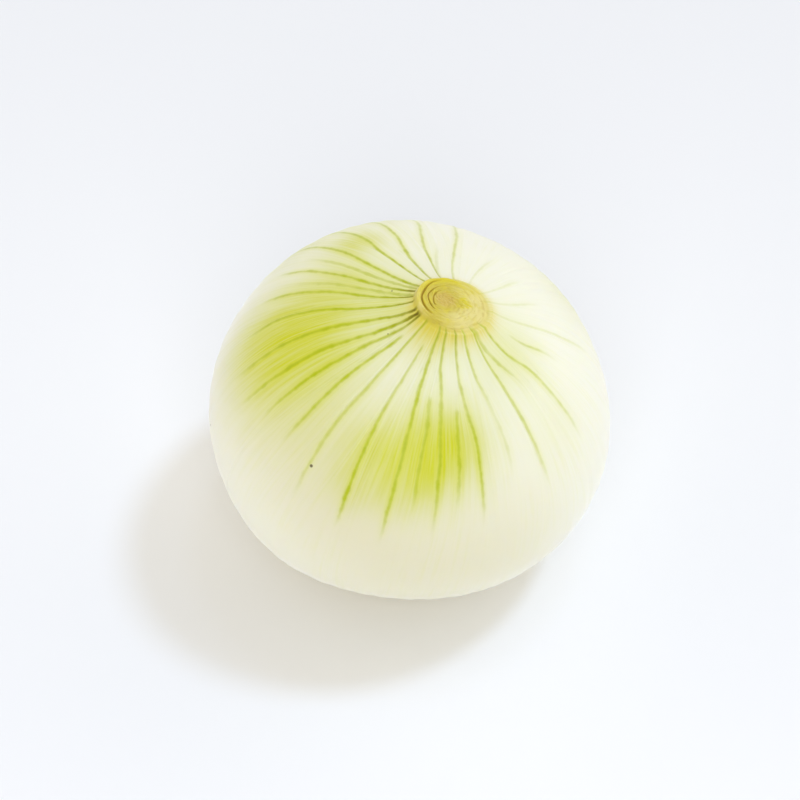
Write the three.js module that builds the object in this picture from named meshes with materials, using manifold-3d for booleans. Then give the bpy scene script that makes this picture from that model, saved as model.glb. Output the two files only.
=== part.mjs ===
// A fresh white onion, peeled to a fleshy scale and trimmed at both ends.
// It grew as one piece, so it is one closed body: the round bulb, the low neck on top with the cut
// ends of the leaf sheaths as nested rings, and the root plate below with its trimmed roots.
// Millimetres, +Z up. The origin is the middle of the flat, cut face of the root plate.
import * as THREE from "three";
import { mergeVertices } from "three/addons/utils/BufferGeometryUtils.js";
import Module from "manifold-3d";

// Driving dimensions of the bulb
const EQUATOR_RADIUS = 44; // half of the widest diameter
const CROWN_HEIGHT = 38; // from the equator up to where the crown would close with no neck
const BASE_HEIGHT = 34; // from the equator down to where the base would close with no root plate
const NECK_LEAN = 13.8; // degrees: how far the neck stands off the vertical
const NECK_TOWARDS = -25; // degrees from +X: the side that the neck leans to
const LEAN_FADES_FROM = 60; // degrees from the neck: from here down to the root plate the lean dies out

// The neck
const NECK_RADIUS = 7.75; // where the neck meets the shoulder
const NECK_OVAL = 0.085; // it is wider along X and narrower along Y, each by this share
const SKIRT_RISE = 1.9; // the shoulder sweeps up by this much where it meets the neck
const SKIRT_SPREAD = 4.2; // and the sweep dies out over about this distance
const NECK_HEIGHT = 1.2; // from the shoulder up to the rim
const CUT_SLOPE = 0.11; // the knife went through aslant: the rim falls by this much per millimetre
const CUT_FALLS_TOWARDS = -10; // degrees from +X
const CORE_SHIFT = 2.5; // the rings aren't concentric: the core lies this far off the neck's middle
const CORE_TOWARDS = 165; // degrees from +X

// Cut ends of the leaf sheaths, from the rim inwards: their radii, and the depth of the gap inside each
const SHEATHS = [
  { outer: 7.4, inner: 6.2, gap: 1.3 },
  { outer: 5.0, inner: 3.95, gap: 1.1 },
  { outer: 3.4, inner: 2.75, gap: 0.8 },
];
const CORE_RADIUS = 2.25;
const CORE_TOP = 0.15; // of the core over the rim
const CORE_DIMPLE = 0.25; // depth of the small pit in the middle of the core
const EDGE_ROUND = 0.22; // how far the edges of a cut sheath are rounded
const GAP_CLOSES_TO = 0.3; // share of a gap's depth that is left on the side away from the core

// The root plate
const PLATE_RADIUS = 9.6;
const PLATE_DROP = 0.5; // how far it stands out below the curve of the base
const PLATE_BEVEL = 0.3;
const PLATE_GROOVE = 0.9; // width of the crease between the plate and the scale round it
const ROOTS = 38;
const ROOT_RADIUS = 0.38;
const ROOT_TAPER = 0.6; // radius of a root's end, as a share of its start
const ROOT_SIDES = 5;
const ROOT_SUNK = 1.6; // how deep each root starts inside the plate
const ROOT_REACH = [0.8, 2.6]; // how far the trimmed ends stand out of the plate
const ROOT_LEVEL = [0.5, 1.0]; // height of the root's end above the cut face
const ROOT_SKEW = 0.5; // radians: the most that a root turns aside, left or right

// Broad swells and flats, each in a direction from the middle of the bulb. A higher focus is narrower.
const SWELLS = [
  { towards: [-0.74, -0.52, -0.42], rise: 1.35, focus: 6 },
  { towards: [0.0, -0.78, -0.62], rise: -1.3, focus: 12 },
  { towards: [0.3, 0.9, -0.2], rise: 0.8, focus: 5 },
];

const SEGMENTS = 72; // round the axis
const FLESH_STEPS = 36; // from the root plate up to the neck
const STEPS_CROWD = 1.4; // above 1 the steps are shorter near the neck, where the outline turns sharply

const CENTRE_Z = BASE_HEIGHT + PLATE_DROP; // height of the bulb's middle over the cut face
const radians = THREE.MathUtils.degToRad;

// Height of the bulb's plain surface over its middle, at a distance from the axis.
function plainHeight(distance, half) {
  return half * Math.sqrt(1 - (distance / EQUATOR_RADIUS) ** 2);
}

// The point of the plain surface at an angle from the neck, as its distance from the axis and height.
function plainPoint(angle) {
  const half = Math.cos(angle) >= 0 ? CROWN_HEIGHT : BASE_HEIGHT;
  const radius = 1 / Math.hypot(Math.sin(angle) / EQUATOR_RADIUS, Math.cos(angle) / half);
  return [radius * Math.sin(angle), radius * Math.cos(angle)];
}

// How much of the neck's shape reaches a point at this distance from the axis: 1 at the neck.
function neckShare(distance) {
  return Math.exp(-Math.max(distance - NECK_RADIUS, 0) / SKIRT_SPREAD);
}

const SHOULDER_HEIGHT = plainHeight(NECK_RADIUS, CROWN_HEIGHT) + SKIRT_RISE;
const RIM_HEIGHT = SHOULDER_HEIGHT + NECK_HEIGHT;
const FLESH_START = [PLATE_RADIUS + PLATE_GROOVE, -plainHeight(PLATE_RADIUS + PLATE_GROOVE, BASE_HEIGHT)];

// The outline's points are each a distance from the axis, a height, and a depth below that height,
// which is felt in full on the core's side of the neck and less on the side away from it.

// The bottom of the outline: the flat cut face, its bevel and the crease round it.
function plateOutline() {
  return [
    [0, -CENTRE_Z, 0],
    [PLATE_RADIUS / 2, -CENTRE_Z, 0],
    [PLATE_RADIUS - PLATE_BEVEL, -CENTRE_Z, 0],
    [PLATE_RADIUS, PLATE_BEVEL - CENTRE_Z, 0],
    [PLATE_RADIUS, FLESH_START[1] + PLATE_BEVEL, 0],
  ];
}

// The fleshy scale, from the crease round the root plate up to the neck.
function fleshOutline() {
  const start = Math.atan2(...FLESH_START);
  const end = Math.atan2(NECK_RADIUS, plainHeight(NECK_RADIUS, CROWN_HEIGHT));
  const outline = [];
  for (let i = 0; i <= FLESH_STEPS; i++) {
    const left = (1 - i / FLESH_STEPS) ** STEPS_CROWD;
    const [distance, height] = plainPoint(end + (start - end) * left);
    const lift = height > 0 ? SKIRT_RISE * neckShare(distance) : 0;
    outline.push([distance, height + lift, 0]);
  }
  return outline;
}

// The neck's wall, the cut sheaths inside its rim and the core.
function neckOutline() {
  const outline = [
    [NECK_RADIUS - 0.1, SHOULDER_HEIGHT + NECK_HEIGHT * 0.4, 0],
    [NECK_RADIUS - 0.25, SHOULDER_HEIGHT + NECK_HEIGHT * 0.7, 0],
  ];
  SHEATHS.forEach(({ outer, inner, gap }, i) => {
    const next = i + 1 < SHEATHS.length ? SHEATHS[i + 1].outer : CORE_RADIUS;
    outline.push([outer, RIM_HEIGHT - EDGE_ROUND, 0]);
    outline.push([outer - EDGE_ROUND, RIM_HEIGHT, 0]);
    outline.push([inner + EDGE_ROUND, RIM_HEIGHT, 0]);
    outline.push([inner, RIM_HEIGHT, EDGE_ROUND]);
    outline.push([inner - 0.1, RIM_HEIGHT, gap]);
    outline.push([next + 0.1, RIM_HEIGHT, gap]);
  });
  outline.push([CORE_RADIUS, RIM_HEIGHT + CORE_TOP, EDGE_ROUND * 2]);
  outline.push([CORE_RADIUS - EDGE_ROUND, RIM_HEIGHT + CORE_TOP, 0]);
  outline.push([CORE_RADIUS * 0.3, RIM_HEIGHT + CORE_TOP, 0]);
  outline.push([0, RIM_HEIGHT + CORE_TOP - CORE_DIMPLE, 0]);
  return outline;
}

// A point's share of the lean: all of it from the neck to LEAN_FADES_FROM, none at the root plate.
function leanAt(distance, height) {
  const fade = THREE.MathUtils.smoothstep(Math.atan2(distance, height), radians(LEAN_FADES_FROM), Math.PI);
  return radians(NECK_LEAN) * (1 - fade);
}

// Sets a point of the neck on its oval, its slanting cut and its shifted rings.
function shapeNeck(point, distance, around, height, depth) {
  const oval = NECK_OVAL * neckShare(distance);
  point.x *= 1 + oval;
  point.y *= 1 - oval;

  const fall = radians(CUT_FALLS_TOWARDS);
  const downhill = point.x * Math.cos(fall) + point.y * Math.sin(fall);
  const cutShare = THREE.MathUtils.clamp((height - SHOULDER_HEIGHT) / NECK_HEIGHT, 0, 1);
  point.z -= CUT_SLOPE * downhill * cutShare;

  const core = radians(CORE_TOWARDS);
  const open = (1 + Math.cos(around - core)) / 2;
  point.z -= depth * THREE.MathUtils.lerp(GAP_CLOSES_TO, 1, open);
  const inside = Math.max(1 - distance / NECK_RADIUS, 0);
  point.x += CORE_SHIFT * inside * Math.cos(core);
  point.y += CORE_SHIFT * inside * Math.sin(core);
}

// Carries a point of the outline, turned round the axis, to its place on the grown bulb.
function grow([distance, height, depth], around) {
  const point = new THREE.Vector3(distance * Math.cos(around), distance * Math.sin(around), height);
  if (height > 0) shapeNeck(point, distance, around, height, depth);

  const side = radians(NECK_TOWARDS);
  const leanAxis = new THREE.Vector3(-Math.sin(side), Math.cos(side), 0);
  point.applyAxisAngle(leanAxis, leanAt(distance, height));

  const outward = point.clone().normalize();
  for (const { towards, rise, focus } of SWELLS) {
    const facing = outward.dot(new THREE.Vector3(...towards).normalize());
    point.addScaledVector(outward, rise * Math.exp(focus * (facing - 1)));
  }
  point.z += CENTRE_Z;
  if (height === -CENTRE_Z) point.z = 0; // the knife left this face flat
  return point;
}

// The whole outline turned round the axis, with each of its points grown.
function bulbGeometry() {
  const outline = [...plateOutline(), ...fleshOutline(), ...neckOutline()];
  const points = outline.map(([distance, height]) => new THREE.Vector2(distance, height));
  const geometry = new THREE.LatheGeometry(points, SEGMENTS);
  const place = geometry.getAttribute("position");
  for (let i = 0; i < place.count; i++) {
    const turn = Math.floor(i / outline.length) % SEGMENTS;
    const { x, y, z } = grow(outline[i % outline.length], (2 * Math.PI * turn) / SEGMENTS);
    place.setXYZ(i, x, y, z);
  }
  return geometry;
}

// Seeded random numbers from 0 to 1, alike on every run.
function seededDraw(seed) {
  let state = seed;
  return () => {
    state = (state * 1664525 + 1013904223) % 4294967296;
    return state / 4294967296;
  };
}

// The trimmed roots: short tapered stubs that stand out of the side of the root plate.
function rootGeometries() {
  const draw = seededDraw(7);
  const between = ([low, high]) => low + (high - low) * draw();
  const stubs = [];
  for (let i = 0; i < ROOTS; i++) {
    const start = new THREE.Vector3(PLATE_RADIUS - ROOT_SUNK, 0, ROOT_RADIUS + 0.15);
    const end = new THREE.Vector3(PLATE_RADIUS + between(ROOT_REACH), 0, between(ROOT_LEVEL));
    const along = end.clone().sub(start);
    const stub = new THREE.CylinderGeometry(
      ROOT_RADIUS * ROOT_TAPER,
      ROOT_RADIUS,
      along.length(),
      ROOT_SIDES,
    );
    stub.translate(0, along.length() / 2, 0);
    const upright = new THREE.Vector3(0, 1, 0);
    stub.applyQuaternion(new THREE.Quaternion().setFromUnitVectors(upright, along.clone().normalize()));
    stub.rotateZ(between([-ROOT_SKEW, ROOT_SKEW]));
    stub.translate(start.x, start.y, start.z);
    stub.rotateZ((2 * Math.PI * (i + 0.6 * (draw() - 0.5))) / ROOTS);
    stubs.push(stub);
  }
  return stubs;
}

const wasm = await Module();
wasm.setup();

// A closed geometry as a solid.
function solidOf(geometry) {
  const bare = geometry.clone();
  bare.deleteAttribute("normal");
  bare.deleteAttribute("uv");
  const merged = mergeVertices(bare, 1e-4);
  return new wasm.Manifold(
    new wasm.Mesh({
      numProp: 3,
      vertProperties: new Float32Array(merged.getAttribute("position").array),
      triVerts: new Uint32Array(merged.index.array),
    }),
  );
}

// A solid back as a geometry.
function geometryOf(solid) {
  const { vertProperties, triVerts } = solid.getMesh();
  const geometry = new THREE.BufferGeometry();
  geometry.setAttribute("position", new THREE.BufferAttribute(vertProperties, 3));
  geometry.setIndex(new THREE.BufferAttribute(triVerts, 1));
  geometry.computeVertexNormals();
  return geometry;
}

function makeBulb() {
  let solid = solidOf(bulbGeometry());
  for (const root of rootGeometries()) solid = solid.add(solidOf(root));
  const flesh = new THREE.MeshStandardMaterial({ color: 0xe9e9c6, roughness: 0.42, metalness: 0 });
  const bulb = new THREE.Mesh(geometryOf(solid), flesh);
  bulb.name = "bulb";
  return bulb;
}

const onion = new THREE.Group();
onion.add(makeBulb());

export default onion;
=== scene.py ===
"""A fresh white onion, peeled to a fleshy scale, on a pale floor in soft daylight.

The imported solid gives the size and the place. The bulb with its cut neck, the root plate and the
roots are finer meshes of the same form that stand for it, and all of them ride on its one body.
Lengths are in millimetres until a mesh or a light is made.
"""

import logging
from dataclasses import dataclass, field
from enum import Enum

import bpy
import numpy as np
from mathutils import Matrix, Vector


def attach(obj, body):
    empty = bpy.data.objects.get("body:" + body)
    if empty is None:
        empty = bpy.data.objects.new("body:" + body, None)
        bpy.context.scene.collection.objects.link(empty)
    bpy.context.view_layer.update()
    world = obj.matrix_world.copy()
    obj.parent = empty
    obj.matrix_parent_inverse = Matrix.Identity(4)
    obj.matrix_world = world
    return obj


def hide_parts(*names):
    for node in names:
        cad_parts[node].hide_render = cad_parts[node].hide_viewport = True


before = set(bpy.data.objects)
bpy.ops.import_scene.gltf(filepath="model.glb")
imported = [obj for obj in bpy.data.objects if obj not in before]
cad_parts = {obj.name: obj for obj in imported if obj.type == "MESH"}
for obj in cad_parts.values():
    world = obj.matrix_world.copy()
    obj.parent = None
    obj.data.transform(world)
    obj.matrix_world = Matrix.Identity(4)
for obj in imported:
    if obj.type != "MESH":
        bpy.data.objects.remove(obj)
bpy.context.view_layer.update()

MM = 0.001
BODY = "root"
NODE = "bulb"
GRAIN = "Grain"
log = logging.getLogger("onion")


def linear(colour: str) -> tuple[float, float, float, float]:
    """Turns an sRGB hex colour to linear light.

    Args:
        colour: A hash and six hex digits.

    Returns:
        Red, green and blue in linear light, and an alpha of 1.
    """
    parts = [int(colour[i : i + 2], 16) / 255 for i in (1, 3, 5)]
    bent = [p / 12.92 if p <= 0.04045 else ((p + 0.055) / 1.055) ** 2.4 for p in parts]
    return (*bent, 1.0)


def smooth(share: np.ndarray) -> np.ndarray:
    """Eases a share from 0 to 1, with no slope at either end."""
    held = np.clip(share, 0.0, 1.0)
    return held * held * (3 - 2 * held)


def waves(turns: np.ndarray, seed: int, slowest: int = 2, count: int = 6) -> np.ndarray:
    """Makes an uneven line that closes on itself after one turn.

    Args:
        turns: Angles in radians.
        seed: Picks the line.
        slowest: Waves per turn of the slowest wave.
        count: How many waves are added, each with one more wave per turn.

    Returns:
        Heights of about -1 to 1, one for each angle.
    """
    draw = np.random.default_rng(seed)
    total = np.zeros_like(turns)
    for i in range(count):
        total = total + np.sin((slowest + i) * turns + draw.uniform(0, 2 * np.pi)) * draw.uniform(0.5, 1)
    return total / np.sqrt(count)


def ring(distance: np.ndarray, around: np.ndarray, height: np.ndarray) -> np.ndarray:
    """Makes points from distances from the upright axis, bearings in radians and heights."""
    level = height + 0 * around
    return np.stack([distance * np.cos(around), distance * np.sin(around), level], axis=-1)


def add_node(tree: bpy.types.NodeTree, kind: str, inputs: dict | None = None, out: str = "",
             **settings) -> bpy.types.NodeSocket | None:
    """Adds one node with its settings and its links.

    Args:
        tree: The material's node tree.
        kind: The node's type name.
        inputs: Values, or sockets to link, by the input's identifier.
        out: The output to return, or nothing for the first one in use.
        **settings: Properties of the node.

    Returns:
        The output socket, or None if the node has none.
    """
    node = tree.nodes.new(kind)
    for name, value in settings.items():
        setattr(node, name, value)
    for name, value in (inputs or {}).items():
        socket = next(each for each in node.inputs if each.identifier == name)
        if isinstance(value, bpy.types.NodeSocket):
            tree.links.new(value, socket)
        else:
            socket.default_value = value
    return next((each for each in node.outputs if each.enabled and each.identifier.startswith(out)), None)


def new_material(name: str) -> tuple[bpy.types.Material, bpy.types.NodeTree]:
    """Makes an empty node material and returns it with its tree."""
    material = bpy.data.materials.new(name)
    material.use_nodes = True
    material.node_tree.nodes.clear()
    return material, material.node_tree


@dataclass(frozen=True)
class Swell:
    """A broad rise, or a hollow if its rise is negative, in one direction from the bulb's middle."""

    towards: tuple[float, float, float]
    rise: float
    focus: float


@dataclass(frozen=True)
class BulbShape:
    """The form of the whole bulb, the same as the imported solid's. Angles are in degrees."""

    equator_radius: float = 44.0
    crown_height: float = 38.0
    base_height: float = 34.0
    neck_lean: float = 13.8
    neck_towards: float = -25.0
    lean_fades_from: float = 60.0
    neck_radius: float = 7.75
    neck_oval: float = 0.085
    skirt_rise: float = 1.9
    skirt_spread: float = 4.2
    neck_height: float = 1.2
    cut_slope: float = 0.11
    cut_falls_towards: float = -10.0
    core_shift: float = 2.5
    core_towards: float = 165.0
    plate_radius: float = 9.6
    plate_drop: float = 0.5
    plate_bevel: float = 0.3
    plate_groove: float = 0.9
    swells: tuple[Swell, ...] = (
        Swell((-0.74, -0.52, -0.42), 1.35, 6),
        Swell((0.0, -0.78, -0.62), -1.3, 12),
        Swell((0.3, 0.9, -0.2), 0.8, 5),
    )

    @property
    def middle_z(self) -> float:
        """Height of the bulb's middle over the cut face of the root plate."""
        return self.base_height + self.plate_drop

    @property
    def shoulder(self) -> float:
        """Height of the shoulder over the bulb's middle, where the neck begins."""
        return self.plain_height(self.neck_radius, self.crown_height) + self.skirt_rise

    @property
    def neck_angle(self) -> float:
        """Angle off the axis at which the flesh meets the neck, in radians."""
        return np.arctan2(self.neck_radius, self.plain_height(self.neck_radius, self.crown_height))

    @property
    def base_angle(self) -> float:
        """Angle off the axis at which the flesh meets the crease round the root plate, in radians."""
        start = self.plate_radius + self.plate_groove
        return np.arctan2(start, -self.plain_height(start, self.base_height))

    def plain_height(self, distance: float, half: float) -> float:
        """Height of the plain surface over the bulb's middle, at a distance from the axis."""
        return half * np.sqrt(1 - (distance / self.equator_radius) ** 2)

    def plain_point(self, angle: np.ndarray) -> tuple[np.ndarray, np.ndarray]:
        """Finds the point of the plain surface at an angle from the neck.

        Args:
            angle: Radians from the neck.

        Returns:
            Its distance from the axis and its height over the bulb's middle.
        """
        half = np.where(np.cos(angle) >= 0, self.crown_height, self.base_height)
        radius = 1 / np.hypot(np.sin(angle) / self.equator_radius, np.cos(angle) / half)
        return radius * np.sin(angle), radius * np.cos(angle)

    def neck_share(self, distance: np.ndarray) -> np.ndarray:
        """How much of the neck's shape reaches a point at this distance from the axis."""
        return np.exp(-np.clip(distance - self.neck_radius, 0, None) / self.skirt_spread)

    def shape_neck(self, point: list, distance: np.ndarray, height: np.ndarray) -> None:
        """Sets points of the crown on the neck's oval, its slanting cut and its shifted rings.

        Args:
            point: The points' x, y and z, changed in place.
            distance: From the axis.
            height: Over the bulb's middle.
        """
        crown = height > 0
        oval = np.where(crown, self.neck_oval * self.neck_share(distance), 0.0)
        point[0] = point[0] * (1 + oval)
        point[1] = point[1] * (1 - oval)
        fall, core = np.radians(self.cut_falls_towards), np.radians(self.core_towards)
        downhill = point[0] * np.cos(fall) + point[1] * np.sin(fall)
        cut_share = np.clip((height - self.shoulder) / self.neck_height, 0, 1)
        point[2] = point[2] - self.cut_slope * downhill * cut_share
        inside = np.where(crown, np.clip(1 - distance / self.neck_radius, 0, None), 0.0)
        point[0] = point[0] + self.core_shift * inside * np.cos(core)
        point[1] = point[1] + self.core_shift * inside * np.sin(core)

    def grow(self, distance: np.ndarray, height: np.ndarray, around: np.ndarray) -> np.ndarray:
        """Carries points of the turned outline to their places on the grown bulb.

        Args:
            distance: From the axis.
            height: Over the bulb's middle.
            around: Bearing in radians.

        Returns:
            The points, over the cut face of the root plate.
        """
        distance, height, around = np.broadcast_arrays(distance, height, around)
        point = [distance * np.cos(around), distance * np.sin(around), height + 0.0]
        self.shape_neck(point, distance, height)

        fades = np.radians(self.lean_fades_from)
        angle = np.arctan2(distance, height)
        lean = np.radians(self.neck_lean) * (1 - smooth((angle - fades) / (np.pi - fades)))
        side = np.radians(self.neck_towards)
        along = point[0] * np.cos(side) + point[1] * np.sin(side)
        across = point[1] * np.cos(side) - point[0] * np.sin(side)
        leaned = along * np.cos(lean) + point[2] * np.sin(lean)
        level = point[2] * np.cos(lean) - along * np.sin(lean)
        grown = np.stack(
            [
                leaned * np.cos(side) - across * np.sin(side),
                leaned * np.sin(side) + across * np.cos(side),
                level,
            ],
            axis=-1,
        )
        outward = grown / np.linalg.norm(grown, axis=-1, keepdims=True)
        for swell in self.swells:
            towards = np.array(swell.towards) / np.linalg.norm(swell.towards)
            rise = swell.rise * np.exp(swell.focus * (outward @ towards - 1))
            grown = grown + outward * rise[..., None]
        return grown + np.array([0, 0, self.middle_z])

    def skin(self, angle: np.ndarray, around: np.ndarray) -> np.ndarray:
        """Points of the flesh's surface at an angle from the neck and a bearing, in radians."""
        distance, height = self.plain_point(angle)
        lift = np.where(height > 0, self.skirt_rise * self.neck_share(distance), 0.0)
        return self.grow(distance, height + lift, around)


@dataclass(frozen=True)
class PhotoView:
    """The camera's place, and where it puts the bulb's middle in the 800 pixel frame."""

    elevation: float = 50.0
    distance: float = 416.8
    lens: float = 85.0
    sensor: float = 36.0
    pixels: float = 800.0
    middle_right: float = 10.96
    middle_down: float = 11.75
    least_facing: float = 0.12
    nudge: float = 1e-4
    longest_step: float = 0.05

    def axes(self) -> tuple[np.ndarray, np.ndarray, np.ndarray]:
        """The camera's right, its up, and the way back from the bulb to the camera."""
        rise = np.radians(self.elevation)
        up = np.array([0, np.sin(rise), np.cos(rise)])
        back = np.array([0, -np.cos(rise), np.sin(rise)])
        return np.array([1.0, 0, 0]), up, back

    def facing(self, points: np.ndarray, shape: BulbShape) -> np.ndarray:
        """How squarely the bulb faces the camera at points of it: 1 in full, 0 edge on, less beyond."""
        outward = points - np.array([0, 0, shape.middle_z])
        return outward @ self.axes()[2] / np.linalg.norm(outward, axis=-1)

    def pixel_of(self, points: np.ndarray, shape: BulbShape) -> np.ndarray:
        """Finds the pixels at which points show.

        Args:
            points: Places in millimetres.
            shape: The bulb that the camera is aimed at.

        Returns:
            Pixels to the right and down from the frame's top left corner.
        """
        right, up, back = self.axes()
        from_middle = points - np.array([0, 0, shape.middle_z])
        size = self.lens / self.sensor * self.pixels / (self.distance - from_middle @ back)
        half = self.pixels / 2
        across = half + self.middle_right + from_middle @ right * size
        down = half + self.middle_down - from_middle @ up * size
        return np.stack([across, down], axis=-1)

    def locate(self, pixels: np.ndarray, shape: BulbShape) -> np.ndarray:
        """Finds where the lines of sight through pixels meet the bulb's near side.

        Args:
            pixels: Pixels to the right and down.
            shape: The bulb.

        Returns:
            For each pixel the angle from the neck and the bearing, in radians.
        """
        # The nearest of places two degrees apart, then steps along the surface's slopes
        coarse = np.meshgrid(np.radians(np.arange(12, 150, 2)), np.radians(np.arange(-180, 180, 2)))
        places = np.stack(coarse, axis=-1).reshape(-1, 2)
        points = shape.skin(places[:, 0], places[:, 1])
        near = self.facing(points, shape) > self.least_facing
        places, seen = places[near], self.pixel_of(points[near], shape)
        found = places[np.argmin(((seen[None] - pixels[:, None]) ** 2).sum(-1), axis=1)]
        for _ in range(8):
            here = self.pixel_of(shape.skin(found[:, 0], found[:, 1]), shape)
            lower = shape.skin(found[:, 0] + self.nudge, found[:, 1])
            beside = shape.skin(found[:, 0], found[:, 1] + self.nudge)
            moved = [self.pixel_of(lower, shape) - here, self.pixel_of(beside, shape) - here]
            slopes = np.stack(moved, axis=-1) / self.nudge
            step = np.linalg.solve(slopes, (pixels - here)[..., None])[..., 0]
            found = found + np.clip(step, -self.longest_step, self.longest_step)
        return found

    def make_camera(self, shape: BulbShape) -> bpy.types.Object:
        """Makes the scene's camera, aimed at the bulb's middle."""
        camera = bpy.data.objects.new("camera", bpy.data.cameras.new("camera"))
        bpy.context.scene.collection.objects.link(camera)
        right, up, back = self.axes()
        turn = Matrix((right, up, back)).transposed().to_4x4()
        place = (np.array([0, 0, shape.middle_z]) + back * self.distance) * MM
        camera.matrix_world = Matrix.Translation(place) @ turn
        camera.data.lens = self.lens
        camera.data.sensor_width = self.sensor
        camera.data.shift_x = -self.middle_right / self.pixels
        camera.data.shift_y = self.middle_down / self.pixels
        camera.data.clip_start = 0.01
        bpy.context.scene.camera = camera
        return camera


class Vigour(Enum):
    """How plainly a vein shows in the flesh."""

    BOLD = 1.0
    CLEAR = 0.8
    SOFT = 0.5
    TRACE = 0.22


class NeckEnd(Enum):
    """How dark a vein turns where it runs into the neck."""

    OLIVE = 1.0
    GREEN = 0.35
    PALE = 0.0


@dataclass(frozen=True)
class Vein:
    """One vein of the outer scale, from the neck down: how plain it is on its way, and its pixels."""

    vigours: tuple[Vigour, ...]
    neck_end: NeckEnd
    pixels: tuple[tuple[int, int], ...]


BOLD, CLEAR, SOFT, TRACE = Vigour
OLIVE, GREEN, PALE = NeckEnd

# In order round the neck, from straight back over the left side and the front to the right
SEEN_VEINS = (
    Vein((CLEAR, SOFT, SOFT), GREEN, ((434, 274), (428, 258), (420, 225))),
    Vein((CLEAR, CLEAR, SOFT), GREEN, ((426, 277), (412, 261), (398, 237), (383, 226))),
    Vein((BOLD, CLEAR, SOFT), GREEN, ((417, 281), (397, 268), (371, 242), (353, 235))),
    Vein((BOLD, CLEAR, SOFT), GREEN, ((414, 285), (387, 274), (350, 254), (315, 248))),
    Vein((SOFT, SOFT, TRACE), GREEN, ((413, 288), (380, 279), (345, 265), (312, 260))),
    Vein((BOLD, CLEAR, SOFT), OLIVE, ((412, 291), (387, 288), (350, 277), (307, 271), (283, 275))),
    Vein((SOFT, SOFT, TRACE), GREEN, ((411, 295), (375, 291), (335, 284), (300, 284))),
    Vein((BOLD, CLEAR, CLEAR), OLIVE, ((410, 298), (371, 297), (334, 292), (296, 293), (270, 300))),
    Vein((BOLD, BOLD, CLEAR), OLIVE, ((412, 304), (393, 309), (334, 309), (280, 318), (254, 335))),
    Vein((BOLD, CLEAR, BOLD, SOFT), OLIVE, ((410, 312), (382, 318), (339, 326), (291, 341), (243, 373))),
    Vein((BOLD, CLEAR, BOLD, TRACE), OLIVE, ((412, 317), (374, 333), (329, 347), (280, 375), (243, 404))),
    Vein((CLEAR, CLEAR, BOLD, TRACE), OLIVE, ((404, 328), (371, 343), (326, 368), (280, 401), (266, 416))),
    Vein((CLEAR, CLEAR, SOFT), GREEN, ((398, 339), (350, 373), (307, 415), (288, 435))),
    Vein((CLEAR, SOFT, SOFT, TRACE), GREEN, ((412, 336), (377, 376), (334, 424), (295, 491))),
    Vein((SOFT, SOFT, BOLD, CLEAR), GREEN, ((420, 349), (387, 403), (361, 456), (339, 518))),
    Vein((CLEAR, CLEAR, BOLD, SOFT), GREEN, ((436, 339), (418, 395), (404, 451), (382, 534))),
    Vein((SOFT, CLEAR, SOFT), PALE, ((429, 403), (428, 430), (422, 451), (414, 502))),
    Vein((CLEAR, SOFT, BOLD, TRACE), GREEN, ((442, 341), (442, 397), (440, 467), (433, 531))),
    Vein((SOFT, CLEAR, TRACE), PALE, ((457, 416), (460, 467), (458, 505))),
    Vein((CLEAR, SOFT, BOLD, TRACE), GREEN, ((452, 341), (462, 392), (477, 440), (485, 518))),
    Vein((CLEAR, TRACE, TRACE), PALE, ((461, 344), (484, 392), (505, 438), (512, 467))),
    Vein((CLEAR, SOFT, SOFT, TRACE), PALE, ((468, 339), (497, 387), (529, 432), (548, 478))),
    Vein((SOFT, SOFT, TRACE), PALE, ((479, 341), (495, 360), (521, 380))),
    Vein((CLEAR, SOFT, TRACE), PALE, ((487, 337), (529, 368), (562, 406), (579, 434))),
    Vein((TRACE, SOFT, TRACE), PALE, ((513, 340), (543, 351), (551, 357))),
    Vein((TRACE, TRACE, TRACE), PALE, ((496, 318), (548, 332), (583, 349))),
    Vein((TRACE, TRACE), PALE, ((495, 304), (535, 304))),
    Vein((TRACE, TRACE), PALE, ((487, 293), (516, 282))),
    Vein((TRACE, TRACE), PALE, ((471, 276), (491, 262))),
    Vein((SOFT, SOFT, TRACE), PALE, ((450, 274), (453, 261), (457, 239))),
    Vein((TRACE, TRACE), PALE, ((438, 272), (438, 247))),
)


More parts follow.
